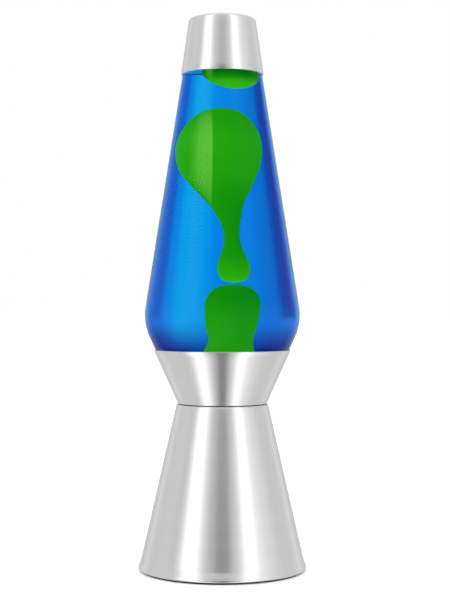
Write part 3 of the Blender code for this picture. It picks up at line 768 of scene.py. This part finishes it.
bottleShape = {
    "wall": 0.0025,
    "heel": 0.005,
    "punt": 0.002,
    "bellyRounding": 0.038,
    "bellyLine": (0.0540, 0.2212),  # radius and height of two points on the upper cone
    "shoulderLine": (0.0300, 0.372),
    "shoulderHeight": 0.390,
    "neckRadius": 0.0118,
    "finishRadius": 0.0133,
    "mouthRadius": 0.0083,
    "collarRadius": 0.0515,
    "collarFoot": 0.0334,
    "sheetAndGap": 0.0010,
    "beadHeight": 0.0065,
    "beadBevel": 0.0015,
    "neckRise": 0.006,
    "lipRoundings": (0.0008, 0.0016, 0.0012),  # inside, outside, below the bead
    "neckRoundings": (0.0008, 0.003),          # top and foot
    "shoulderRoundings": (0.004, 0.006),       # inside and outside
    "puntRadii": (0.012, 0.020),
    "puntRoundings": (0.003, 0.002),
    "liquidNeck": 0.0135,
    "liquidTop": 0.3925,
    "wetting": 0.0002,  # the liquid reaches this far into the glass
    "steps": 192,
    "longestRun": 0.006,
    "arcStep": 4,
}


def lineThrough(first, second):
    slope = (second[0] - first[0]) / (second[1] - first[1])
    return slope, first[0] - slope * first[1]


def bottleCorner(inset):
    # where the two cones would meet, that far inside the glass
    shape = bottleShape
    upperSlope, upperStart = lineThrough(shape["bellyLine"], shape["shoulderLine"])
    lowerSlope, lowerStart = lineThrough(
        (shape["collarFoot"], collarLow[2]), (shape["collarRadius"], collarHigh[2])
    )
    lowerStart -= (shape["sheetAndGap"] + inset) * math.hypot(1, lowerSlope)
    upperStart -= inset * math.hypot(1, upperSlope)
    height = (upperStart - lowerStart) / (lowerSlope - upperSlope)

    def upper(z):
        return upperStart + upperSlope * z

    def lower(z):
        return lowerStart + lowerSlope * z
    return (upper(height), height), upper, lower


def bottleOutline(corners):
    arcStep = math.radians(bottleShape["arcStep"])
    return fillIn(roundCorners(corners, arcStep), bottleShape["longestRun"])


def bottle():
    shape = bottleShape
    wall, shoulder, top = shape["wall"], shape["shoulderHeight"], glassHigh[2]
    floor = glassLow[2]
    corner, upper, lower = bottleCorner(0)
    cornerIn, upperIn, lowerIn = bottleCorner(wall)
    insideFloor = floor + wall + shape["punt"]
    beadLow = top - shape["beadHeight"]
    neckFoot = shoulder + shape["neckRise"]
    mouth, finish, neck = shape["mouthRadius"], shape["finishRadius"], shape["neckRadius"]
    lipIn, lipOut, lipBelow = shape["lipRoundings"]
    neckTopRounding, neckFootRounding = shape["neckRoundings"]
    shoulderIn, shoulderOut = shape["shoulderRoundings"]
    puntTop, puntEdge = shape["puntRadii"]
    puntTopRounding, puntEdgeRounding = shape["puntRoundings"]
    inside = [
        (0, insideFloor),
        (lowerIn(insideFloor), insideFloor, shape["heel"]),
        (*cornerIn, shape["bellyRounding"] - wall),
        (upperIn(shoulder - wall), shoulder - wall, shoulderIn),
        (mouth, neckFoot - wall / 2, neckFootRounding),
        (mouth, top, lipIn),
    ]
    outside = [
        (finish, top, lipOut),
        (finish, beadLow, lipBelow),
        (neck, beadLow - shape["beadBevel"], neckTopRounding),
        (neck, neckFoot, neckFootRounding),
        (upper(shoulder), shoulder, shoulderOut),
        (*corner, shape["bellyRounding"]),
        (lower(floor), floor, shape["heel"]),
        (puntEdge, floor, puntEdgeRounding),
        (puntTop, floor + shape["punt"], puntTopRounding),
        (0, floor + shape["punt"]),
    ]
    outline = bottleOutline(inside + outside)
    steps = shape["steps"]
    return turnedPiece("bottle", outline, clear, "bottle", ["bottle_glass"], steps)


def liquidFill():
    shape = bottleShape
    wall = shape["wall"] - shape["wetting"]
    corner, upper, lower = bottleCorner(wall)
    floor = glassLow[2] + shape["wall"] + shape["punt"] - shape["wetting"]
    shoulder = shape["shoulderHeight"] - wall
    corners = [
        (0, floor),
        (lower(floor), floor, shape["heel"]),
        (*corner, shape["bellyRounding"] - wall),
        (upper(shoulder), shoulder, shape["shoulderRoundings"][0]),
        (shape["liquidNeck"], shape["liquidTop"]),
        (0, shape["liquidTop"]),
    ]
    outline = bottleOutline(corners)
    return turnedPiece("liquidFill", outline, blue, "bottle", ["liquid"], shape["steps"])


bottle()
liquidFill()
print("bottle and liquid made")


# (height, radius, sideways shift) from foot to top
topBlobShape = [
    (0.3592, 0, 0.0078), (0.3600, 0.0050, 0.0076), (0.3622, 0.0100, 0.0070),
    (0.3652, 0.0137, 0.0062), (0.3712, 0.0160, 0.0048), (0.3772, 0.0134, 0.0038),
    (0.3802, 0.0078, 0.0030), (0.3812, 0, 0.0030),
]
middleBlobShape = [
    (0.2131, 0, 0.0066), (0.2141, 0.0045, 0.0066), (0.2171, 0.0078, 0.0066),
    (0.2231, 0.0094, 0.0065), (0.2296, 0.0085, 0.0062), (0.2366, 0.0062, 0.0058),
    (0.2452, 0.0045, 0.0055), (0.2536, 0.0048, 0.0050), (0.2601, 0.0061, 0.0042),
    (0.2686, 0.0087, 0.0028), (0.2756, 0.0117, 0.0014), (0.2836, 0.0160, 0.0000),
    (0.2906, 0.0194, -0.0012), (0.2996, 0.0228, -0.0020), (0.3126, 0.0243, -0.0021),
    (0.3236, 0.0228, -0.0018), (0.3326, 0.0190, -0.0014), (0.3396, 0.0134, -0.0010),
    (0.3434, 0.0070, -0.0008), (0.3448, 0, -0.0008),
]
columnShape = [
    (0.1413, 0.0330, 0), (0.1450, 0.0360, 0), (0.1475, 0.0345, 0),
    (0.1500, 0.0300, 0.0002), (0.1545, 0.0245, 0.0008), (0.1600, 0.0200, 0.0018),
    (0.1650, 0.0170, 0.0030), (0.1705, 0.0143, 0.0038), (0.1790, 0.0127, 0.0048),
    (0.1860, 0.0146, 0.0051), (0.1940, 0.0158, 0.0057), (0.2010, 0.0152, 0.0060),
    (0.2060, 0.0130, 0.0062), (0.2095, 0.0098, 0.0063), (0.2112, 0.0054, 0.0063),
    (0.2118, 0, 0.0063),
]


def smoothBetween(stations, height):
    # Catmull-Rom through the stations
    i = 0
    while i < len(stations) - 2 and height > stations[i + 1][0]:
        i += 1
    low, high = Vector(stations[i]), Vector(stations[i + 1])
    before = Vector(stations[max(i - 1, 0)])
    after = Vector(stations[min(i + 2, len(stations) - 1)])
    span = high[0] - low[0]
    t = min(max((height - low[0]) / span, 0), 1)
    slopeIn = (high - before) / (high[0] - before[0]) * span
    slopeOut = (after - low) / (after[0] - low[0]) * span
    value = (
        low * (2 * t ** 3 - 3 * t ** 2 + 1) + slopeIn * (t ** 3 - 2 * t ** 2 + t)
        + high * (3 * t ** 2 - 2 * t ** 3) + slopeOut * (t ** 3 - t ** 2)
    )
    return max(value[1], 0), value[2]


waxShape = {"segments": 96, "bulge": 0.035, "bulgesPerMetre": 26, "topEase": 1.4, "smoothing": 0.3}


def waxLump(name, stations, replaced, body, seed, flatFoot=False, rings=120):
    # a ball pulled to the stations' radii, a little uneven from front to back
    shape = waxShape
    bottom, top = stations[0][0], stations[-1][0]
    bm = bmesh.new()
    bmesh.ops.create_uvsphere(bm, u_segments=shape["segments"], v_segments=rings, radius=1)
    foot = 1 / rings if flatFoot else 0
    for vert in bm.verts:
        share = math.acos(max(-1, min(1, -vert.co.z))) / math.pi
        share = max(0, (share - foot) / (1 - foot))
        if flatFoot:
            eased = 1 - (1 - share) ** shape["topEase"]
        else:
            eased = (1 - math.cos(share * math.pi)) / 2
        height = bottom + (top - bottom) * eased
        flat = Vector((vert.co.x, vert.co.y))
        flat = flat.normalized() if flat.length > 0.0001 else Vector((0, 0))
        radius, shift = smoothBetween(stations, height)
        swell = noise.noise(Vector((flat.x + seed, flat.y, height * shape["bulgesPerMetre"])))
        bulge = 1 + shape["bulge"] * swell
        vert.co = (flat.x * radius + shift, flat.y * radius * bulge, height)
    bmesh.ops.smooth_vert(
        bm, verts=bm.verts[:], factor=shape["smoothing"], use_axis_x=True, use_axis_y=True
    )
    bmesh.ops.recalc_face_normals(bm, faces=bm.faces[:])
    return makePiece(name, bm, wax, body, [replaced], sharpAngle=80)


waxLump("waxTopBlob", topBlobShape, "wax_top_blob", "bottle", 3.1, rings=60)
waxLump("waxDriftingBlob", middleBlobShape, "wax_middle_blob", "wax", 7.7)
waxLump("waxColumn", columnShape, "wax_column", "bottle", 12.4, flatFoot=True)
print("wax made")


screwShape = {
    "steps": 40,
    "headRadius": 0.0028,
    "headHeight": 0.0017,
    "crownShare": 0.6,
    "crownDrop": 0.0001,
    "crownRounding": 0.002,
    "headEdge": 0.0004,
    "headRounding": 0.0006,
    "shankRadius": 0.00145,
    "tip": 0.0004,
    "recess": 0.0009,
    "recessShare": 1.1,
    "blade": 0.0005,
    "sharpAngle": 30,
}


def middleOf(low, high):
    return Vector(((low[0] + high[0]) / 2, (low[1] + high[1]) / 2, 0))


def waistScrew(number):
    # a pan head with a cross recess, on its shank
    shape = screwShape
    low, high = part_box(f"waist_screw_{number}")
    middle, foot, top = middleOf(low, high), low[2], high[2]
    head = top - shape["headHeight"]
    headRadius, shank, tip = shape["headRadius"], shape["shankRadius"], shape["tip"]
    corners = [
        (0, top),
        (headRadius * shape["crownShare"], top - shape["crownDrop"], shape["crownRounding"]),
        (headRadius, head + shape["headEdge"], shape["headRounding"]),
        (headRadius, head), (shank, head), (shank, foot + tip), (shank - tip, foot), (0, foot),
    ]
    bm = spinMesh(roundCorners(corners), shape["steps"])
    bmesh.ops.translate(bm, vec=middle, verts=bm.verts[:])
    name, node, angle = f"waistScrew{number}", f"waist_screw_{number}", shape["sharpAngle"]
    screw = makePiece(name, bm, steel, "base", [node], angle)
    size = (headRadius * shape["recessShare"], shape["blade"], 2 * shape["recess"], 1)
    recesses = []
    for quarter in (0, 1):
        turn = Matrix.Rotation(quarter * math.pi / 2, 4, "Z")
        place = Matrix.Translation(middle + Vector((0, 0, top))) @ turn
        recess = bmesh.new()
        bmesh.ops.create_cube(recess, size=1, matrix=place @ Matrix.Diagonal(size))
        recesses.append(recess)
    return cutAway(screw, recesses)


nutShape = {
    "waistBore": 0.0016,
    "nippleBore": 0.0049,
    "flatShare": 0.88,  # of the corner radius, where the chamfer starts
    "cornerShare": 1.02,
    "chamferShare": 0.12,
    "outsideShare": 1.4,
    "past": 0.001,
    "chamferSteps": 48,
    "boreSteps": 40,
    "sharpAngle": 20,
}


def hexNut(name, node, bore):
    # six flats with the corners chamfered off, and a bore
    shape = nutShape
    low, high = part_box(node)
    middle, foot, top = middleOf(low, high), low[2], high[2]
    radius, past = (high[0] - low[0]) / 2, shape["past"]
    flat, corner = radius * shape["flatShare"], radius * shape["cornerShare"]
    chamferHeight, outside = radius * shape["chamferShare"], radius * shape["outsideShare"]
    nut = rodMesh(radius, foot, top, 6, Matrix.Translation(middle))
    piece = makePiece(name, nut, steel, "base", [node], shape["sharpAngle"])
    chamfer = spinMesh(roundCorners([
        (flat, top + past), (flat, top), (corner, top - chamferHeight), (corner, foot + chamferHeight),
        (flat, foot), (flat, foot - past), (outside, foot - past), (outside, top + past),
    ]), shape["chamferSteps"], ring=True)
    bmesh.ops.translate(chamfer, vec=middle, verts=chamfer.verts[:])
    hole = rodMesh(bore, foot - past, top + past, shape["boreSteps"], Matrix.Translation(middle))
    return cutAway(piece, [chamfer, hole])


holderShape = {
    "steps": 96,
    "radius": 0.0135,
    "boreRadius": 0.0098,
    "floor": 0.006,
    "rounding": 0.0010,
    "boreRoundings": (0.0008, 0.0006),  # foot and mouth
    "nippleRoom": 0.0051,
    "grooveHeight": 0.012,
    "grooveHalfWidth": 0.0010,
    "grooveDepth": 0.0006,
    "grooveRoundings": (0.0004, 0.0005),  # edges and floor
}


def holder():
    # a glazed porcelain cup with a shallow groove round it
    shape = holderShape
    foot, top = holderLow[2], holderHigh[2]
    radius, bore, rounding = shape["radius"], shape["boreRadius"], shape["rounding"]
    floor, ceiling = foot + shape["floor"], foot + shape["floor"] / 2
    groove, halfWidth = foot + shape["grooveHeight"], shape["grooveHalfWidth"]
    boreFoot, boreMouth = shape["boreRoundings"]
    grooveEdge, grooveFloor = shape["grooveRoundings"]
    corners = [
        (0, floor), (bore, floor, boreFoot), (bore, top, boreMouth), (radius, top, rounding),
        (radius, groove + halfWidth, grooveEdge),
        (radius - shape["grooveDepth"], groove, grooveFloor),
        (radius, groove - halfWidth, grooveEdge),
        (radius, foot, rounding),
        (shape["nippleRoom"], foot), (shape["nippleRoom"], ceiling), (0, ceiling),
    ]
    outline, steps = roundCorners(corners), shape["steps"]
    return turnedPiece("holderCup", outline, porcelain, "base", ["holder_body"], steps)


bulbShape = {
    "steps": 96,
    "longestRun": 0.003,
    "wall": 0.0009,
    "neck": 0.0072,
    "foot": 0.0120,
    # radius, distance below the top, rounding
    "outline": [
        (0.0222, 0.0030, 0.0090), (0.0222, 0.0160, 0.0080),
        (0.0090, 0.0400, 0.0150), (0.0072, 0.0450, 0.0030),
    ],
}
threadShape = {
    "steps": 72,
    "longestRun": 0.0003,
    "radius": 0.0083,
    "depth": 0.0005,
    "pitch": 0.00282,
    "turns": 4,
    "fadesPerPitch": 2,
    "shellTop": 0.0205,
    "threadTop": 0.0170,
    "shellEnd": 0.0052,
    "taper": 0.0028,
    "sheet": 0.0003,
    "sharpAngle": 60,
}


def bulbEnvelope():
    shape = bulbShape
    top, tip = bulbHigh[2], tipLow[2]
    outer = [(radius, top - drop, rounding) for radius, drop, rounding in shape["outline"]]
    outline = roundCorners([(0, top), *outer, (shape["neck"], tip + shape["foot"])])
    bm = spinMesh(fillIn(outline, shape["longestRun"]), shape["steps"])
    bmesh.ops.solidify(bm, geom=bm.faces[:], thickness=shape["wall"])
    return makePiece("bulbEnvelope", bm, clear, "bulb", ["bulb_glass"])


def bulbThread():
    # the pressed screw shell, with a true spiral thread
    shape = threadShape
    tip, pitch = tipLow[2], shape["pitch"]
    top, threadTop = tip + shape["shellTop"], tip + shape["threadTop"]
    threadLow = threadTop - shape["turns"] * pitch
    root = shape["radius"] - shape["depth"]
    end = Vector((shape["shellEnd"], threadLow - shape["taper"]))
    outline = fillIn([Vector((root, top)), Vector((root, threadLow)), end], shape["longestRun"])
    bm = spinMesh(outline, shape["steps"])
    for vert in bm.verts:
        flat = Vector((vert.co.x, vert.co.y))
        if not threadLow < vert.co.z < threadTop:
            continue
        ends = min((threadTop - vert.co.z), (vert.co.z - threadLow)) / pitch
        turn = math.atan2(flat.y, flat.x) + math.tau * vert.co.z / pitch
        fade = min(1, ends * shape["fadesPerPitch"])
        crest = (0.5 - 0.5 * math.cos(turn)) * shape["depth"] * fade
        vert.co.xy = flat.normalized() * (flat.length + crest)
    bmesh.ops.solidify(bm, geom=bm.faces[:], thickness=shape["sheet"])
    angle = shape["sharpAngle"]
    return makePiece("bulbThread", bm, brassFinish, "bulb", ["bulb_screw_shell"], angle)


for number in (1, 2, 3):
    waistScrew(number)
    hexNut(f"waistNut{number}", f"waist_nut_{number}", nutShape["waistBore"])
hexNut("holderLockNut", "holder_lock_nut", nutShape["nippleBore"])
holder()
bulbEnvelope()
bulbThread()
print("fasteners, lampholder and bulb made")


# nodes that keep their own mesh
keptFinishes = {
    steel: ["heat_coil", "lamp_bracket", "holder_nipple", "bulb_lead_wire_1", "bulb_lead_wire_2",
            "bulb_filament", "bottom_cover"],
    brassFinish: ["holder_screw_shell", "holder_centre_contact", "terminal_screw_1", "terminal_screw_2"],
    solder: ["bulb_tip_contact"],
    clear: ["bulb_stem"],
    blackPlastic: ["gland_nut", "bulb_insulator"],
    rubberFinish: ["crown_liner"],
}
for finish, names in keptFinishes.items():
    for name in names:
        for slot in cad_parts[name].material_slots:
            slot.material = finish
print("kept nodes finished")


cameraLook = {"place": (0.002, -1.079, 0.199), "lens": 86, "shiftUp": 0.0083}
floorLook = {"size": 30, "colour": (0.93, 0.93, 0.93), "roughness": 0.9, "specular": 0.1}
boxLook = {
    "azimuth": -50, "distance": 1.8, "height": 0.9, "aimHeight": 0.25,
    "wide": 0.8, "tall": 1.6, "power": 3,
}


def makeCamera():
    data = bpy.data.cameras.new("camera")
    data.lens = cameraLook["lens"]
    data.shift_y = cameraLook["shiftUp"]
    camera = bpy.data.objects.new("camera", data)
    camera.location = cameraLook["place"]
    camera.rotation_euler = (math.radians(90), 0, 0)
    bpy.context.scene.collection.objects.link(camera)
    bpy.context.scene.camera = camera


def makeFloor():
    bm = bmesh.new()
    bmesh.ops.create_grid(bm, x_segments=1, y_segments=1, size=floorLook["size"])
    floor = addObject("floor", bm)
    paper = Finish("floorPaper")
    paper.set(
        colour=floorLook["colour"], roughness=floorLook["roughness"], specular=floorLook["specular"]
    )
    floor.data.materials.append(paper.material)
    floor.visible_glossy = False
    floor.visible_transmission = False


def makeSoftbox():
    # azimuth 0 is the camera's side, positive towards +X
    look = boxLook
    data = bpy.data.lights.new("keyBox", "AREA")
    data.shape = "RECTANGLE"
    data.size = look["wide"]
    data.size_y = look["tall"]
    data.energy = look["power"]
    lamp = bpy.data.objects.new("keyBox", data)
    angle, distance = math.radians(look["azimuth"]), look["distance"]
    lamp.location = (distance * math.sin(angle), -distance * math.cos(angle), look["height"])
    aim = Vector((0, 0, look["aimHeight"])) - lamp.location
    lamp.rotation_euler = aim.to_track_quat("-Z", "Y").to_euler()
    lamp.visible_camera = False
    lamp.visible_glossy = False  # its shine is in the tent's strips
    bpy.context.scene.collection.objects.link(lamp)


tentLook = {
    "seen": 1.0,
    "lighting": 1.5,
    "brightest": 2.0,
    # azimuth from the camera's side in degrees, positive towards +X, and strength
    "mirrored": [
        (-180, 0.60), (-150, 0.62), (-136, 0.78), (-120, 0.66), (-90, 0.68), (-74, 0.62), (-65, 0.85),
        (-57, 1.4), (-41, 1.45), (-34, 1.0), (-26, 0.72), (-18, 0.50), (-12, 0.44), (-8, 0.24),
        (9, 0.22), (12, 0.48), (22, 0.68), (30, 0.95), (37, 1.45), (48, 1.45), (56, 1.0), (74, 0.82), (96, 0.66),
        (118, 0.66), (136, 0.78), (150, 0.62), (180, 0.60),
    ],
    "highGap": 0.74,  # the dim gap is paler than this above the camera
    "highFrom": (0.36, 0.46),
    # azimuth from straight behind, positive towards +X, and colour
    "behind": [
        (-90, (0.8, 0.9, 1)), (-68, (0.6, 0.78, 1)), (-58, (0.45, 0.62, 0.9)), (-50, (0.10, 0.18, 0.52)),
        (-43, (0.03, 0.07, 0.38)), (-34, (0.06, 0.13, 0.45)), (-23, (0.32, 0.43, 0.77)),
        (-8, (0.5, 0.60, 0.93)), (2, (0.55, 0.62, 0.95)), (9, (0.9, 0.92, 1)), (18, (1, 1, 1)),
        (26, (0.5, 0.62, 0.92)), (35, (0.17, 0.28, 0.68)), (46, (0.20, 0.32, 0.72)),
        (66, (0.6, 0.75, 0.95)), (90, (0.8, 0.9, 1)),
    ],
    "levelBehind": (0.36, 0.45, 0.80),  # the least near the horizon and above
    "levelFrom": (-0.03, 0.08),
    "upperBehind": (0.05, 0.10, 0.38),
    "upperFrom": (0.02, 0.34),
    "zenithBehind": (0.9, 0.93, 0.96),
    "zenithFrom": (0.40, 0.62),
}


def makeWorld():
    # a white tent with two lit strips and a dim gap where the camera stands
    look = tentLook
    world = bpy.data.worlds.new("studio")
    bpy.context.scene.world = world
    world.use_nodes = True
    maker = NodeMaker(world.node_tree)
    x, y, z = maker.axes(maker.add("ShaderNodeTexCoord", output=0))
    halfTurn = maker.add("ShaderNodeMath", {"operation": "ARCTANGENT"}, {0: x / y}) / math.pi
    turn = maker.add("ShaderNodeMath", {"operation": "ARCTAN2"}, {0: x, 1: 0 - y}) / math.tau

    top = look["brightest"]
    mirrored = maker.ramp(0.5 + turn, [
        ((azimuth + 180) / 360, (strength / top,) * 3) for azimuth, strength in look["mirrored"]
    ])
    overhead = maker.smooth(z, *look["highFrom"], look["highGap"] / top)
    overhead = maker.add("ShaderNodeCombineXYZ", None, {0: overhead, 1: overhead, 2: overhead})
    mirrored = maker.blend("LIGHTEN", 1.0, mirrored, overhead)

    behind = maker.ramp(0.5 + halfTurn, [
        ((azimuth + 90) / 180, colour) for azimuth, colour in look["behind"]
    ])
    behind = maker.blend("LIGHTEN", maker.smooth(z, *look["levelFrom"]), behind, look["levelBehind"])
    behind = maker.blend("MULTIPLY", maker.smooth(z, *look["upperFrom"]), behind, look["upperBehind"])
    behind = maker.mixColour(maker.smooth(z, *look["zenithFrom"]), behind, look["zenithBehind"])

    rays = maker.tree.nodes.new("ShaderNodeLightPath")
    names = ("Is Camera Ray", "Is Glossy Ray", "Is Transmission Ray")
    camera, glossy, through = [Wire(maker, rays.outputs[name]) for name in names]
    shine = glossy * (1 - through)  # a refracted ray counts as glossy too
    white = (1, 1, 1)
    colour = maker.mixColour(through, maker.mixColour(shine, white, mirrored), behind)
    plain = look["lighting"] + camera * (look["seen"] - look["lighting"])
    strength = plain + shine * (top - plain) + through * (1 - plain)
    background = world.node_tree.nodes["Background"]
    maker.feed(background.inputs["Color"], colour)
    maker.feed(background.inputs["Strength"], strength)


makeCamera()
makeFloor()
makeSoftbox()
makeWorld()
bpy.context.scene.view_settings.view_transform = "Standard"
print("camera and light made")
